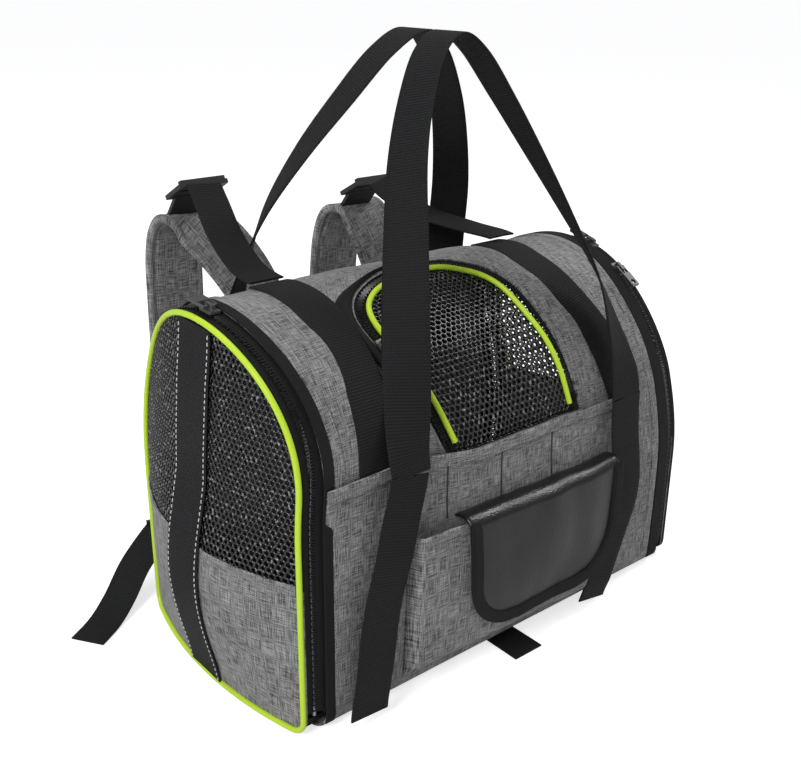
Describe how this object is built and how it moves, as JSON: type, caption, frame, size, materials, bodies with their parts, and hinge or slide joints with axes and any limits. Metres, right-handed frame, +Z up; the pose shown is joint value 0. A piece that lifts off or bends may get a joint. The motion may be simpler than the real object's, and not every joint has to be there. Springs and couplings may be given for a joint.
{
  "type": "pet transport carrier",
  "caption": "Soft-sided arched pet carrier with mesh end doors and window, lime piping, flap pocket, hand loops and padded shoulder straps",
  "frame": {"origin": "middle of the underside, on the floor", "axes": "+X along the tunnel towards the far door, the pocket side faces -Y, +Z up"},
  "size_m": [0.5364, 0.3436, 0.5009],
  "materials": {
    "heather_fabric": "matte woven heather",
    "base_fabric": "matte coated",
    "webbing": "ribbed webbing",
    "mesh": "open knitted mesh",
    "zip_tape": "fine twill tape",
    "zip_teeth": "moulded coil",
    "piping": "smooth vinyl",
    "leatherette": "grained soft sheen",
    "lock_plastic": "satin",
    "slider_metal": "gunmetal",
    "spring_steel": "satin",
    "board": "plain",
    "mat": "soft fleece"
  },
  "bodies": {
    "shell": {"shell_panel": "heather_fabric", "base_panel": "base_fabric", "base_board": "board", "base_mat": "mat", "hoop_near": "spring_steel", "hoop_far": "spring_steel", "near_zip_tape": "zip_tape", "near_zip_teeth": "zip_teeth", "far_zip_tape": "zip_tape", "far_zip_teeth": "zip_teeth", "window_zip_tape": "zip_tape", "window_zip_teeth": "zip_teeth", "pocket_back": "heather_fabric", "pocket_front": "heather_fabric", "pocket_loop_tape": "zip_tape", "flap_fold": "leatherette", "front_leg_left": "webbing", "front_leg_right": "webbing", "rear_leg_left": "webbing", "rear_leg_right": "webbing", "top_web_left": "webbing", "top_web_right": "webbing", "lifter_web_left": "webbing", "lifter_web_right": "webbing", "left_anchor_web": "webbing", "right_anchor_web": "webbing", "right_tail_web": "webbing"},
    "near_door": {"near_door_mesh": "mesh", "near_door_skirt": "heather_fabric", "near_door_band": "zip_tape", "near_door_piping": "piping", "near_door_tape": "zip_tape"},
    "far_door": {"far_door_mesh": "mesh", "far_door_skirt": "heather_fabric", "far_door_band": "zip_tape", "far_door_piping": "piping", "far_door_tape": "zip_tape"},
    "window": {"window_mesh": "mesh", "window_piping": "piping", "window_tape": "zip_tape"},
    "flap": {"flap_leather": "leatherette", "flap_binding": "zip_tape", "flap_hook_tape": "zip_tape"},
    "front_handle": {"front_handle": "webbing"},
    "rear_handle": {"rear_handle": "webbing"},
    "left_strap": {"left_strap_pad": "heather_fabric", "left_lifter_lock": "lock_plastic", "left_lower_lock": "lock_plastic", "left_tail_web": "webbing"},
    "right_strap": {"right_strap_pad": "heather_fabric", "right_lifter_lock": "lock_plastic", "right_lower_lock": "lock_plastic"},
    "near_slider": {"near_slider": "slider_metal"},
    "near_pull": {"near_pull": "slider_metal"},
    "far_slider_front": {"far_slider_front": "slider_metal"},
    "far_pull_front": {"far_pull_front": "slider_metal"},
    "far_slider_back": {"far_slider_back": "slider_metal"},
    "far_pull_back": {"far_pull_back": "slider_metal"},
    "window_slider": {"window_slider": "slider_metal"},
    "window_pull": {"window_pull": "slider_metal"}
  },
  "joints": [
    {"name": "near_door", "type": "hinge", "parent": "shell", "child": "near_door", "pos_m": [-0.2335, 0, 0.004], "axis": [0, -1, 0], "range_deg": [0, 90]},
    {"name": "far_door", "type": "hinge", "parent": "shell", "child": "far_door", "pos_m": [0.2335, 0, 0.004], "axis": [0, 1, 0], "range_deg": [0, 90]},
    {"name": "window", "type": "hinge", "parent": "shell", "child": "window", "pos_m": [0, -0.1205, 0.209], "axis": [1, 0, 0], "range_deg": [0, 120]},
    {"name": "flap", "type": "hinge", "parent": "shell", "child": "flap", "pos_m": [0, -0.139, 0.1496], "axis": [-1, 0, 0], "range_deg": [0, 110]},
    {"name": "front_handle", "type": "hinge", "parent": "shell", "child": "front_handle", "pos_m": [0, -0.1362, 0.2034], "axis": [1, 0, 0], "range_deg": [0, 110]},
    {"name": "rear_handle", "type": "hinge", "parent": "shell", "child": "rear_handle", "pos_m": [0, 0.1221, 0.2034], "axis": [-1, 0, 0], "range_deg": [0, 4]},
    {"name": "left_strap", "type": "hinge", "parent": "shell", "child": "left_strap", "pos_m": [-0.049, 0.1206, 0.2], "axis": [0, 0, -1], "range_deg": [0, 35]},
    {"name": "right_strap", "type": "hinge", "parent": "shell", "child": "right_strap", "pos_m": [0.1, 0.1206, 0.2], "axis": [0, 0, -1], "range_deg": [0, 30]},
    {"name": "near_slider", "type": "hinge", "parent": "shell", "child": "near_slider", "pos_m": [-0.21401, 0.00103, 0.19908], "axis": [0.9934, 0.076, 0.0862], "range_deg": [0, 82]},
    {"name": "near_pull", "type": "hinge", "parent": "near_slider", "child": "near_pull", "pos_m": [-0.22385, -0.00646, 0.32323], "axis": [1, 0, 0], "range_deg": [0, 150]},
    {"name": "far_slider_front", "type": "hinge", "parent": "shell", "child": "far_slider_front", "pos_m": [0.22698, -0.00145, 0.19874], "axis": [0.9829, -0.1813, -0.0324], "range_deg": [0, 52]},
    {"name": "far_pull_front", "type": "hinge", "parent": "far_slider_front", "child": "far_pull_front", "pos_m": [0.21826, -0.069, 0.3023], "axis": [-1, 0, 0], "range_deg": [0, 150]},
    {"name": "far_slider_back", "type": "hinge", "parent": "shell", "child": "far_slider_back", "pos_m": [0.20587, -0.00057, 0.20063], "axis": [-0.9898, -0.0219, 0.1408], "range_deg": [0, 94]},
    {"name": "far_pull_back", "type": "hinge", "parent": "far_slider_back", "child": "far_pull_back", "pos_m": [0.22285, -0.02985, 0.31973], "axis": [1, 0, 0], "range_deg": [0, 150]},
    {"name": "window_slider", "type": "hinge", "parent": "shell", "child": "window_slider", "pos_m": [-0.0903, 0.00226, 0.19766], "axis": [0.9848, 0.1228, 0.1228], "range_deg": [0, 33]},
    {"name": "window_pull", "type": "hinge", "parent": "window_slider", "child": "window_pull", "pos_m": [-0.09068, -0.08669, 0.28977], "axis": [-0.9848, -0.1249, -0.1206], "range_deg": [0, 150]}
  ]
}
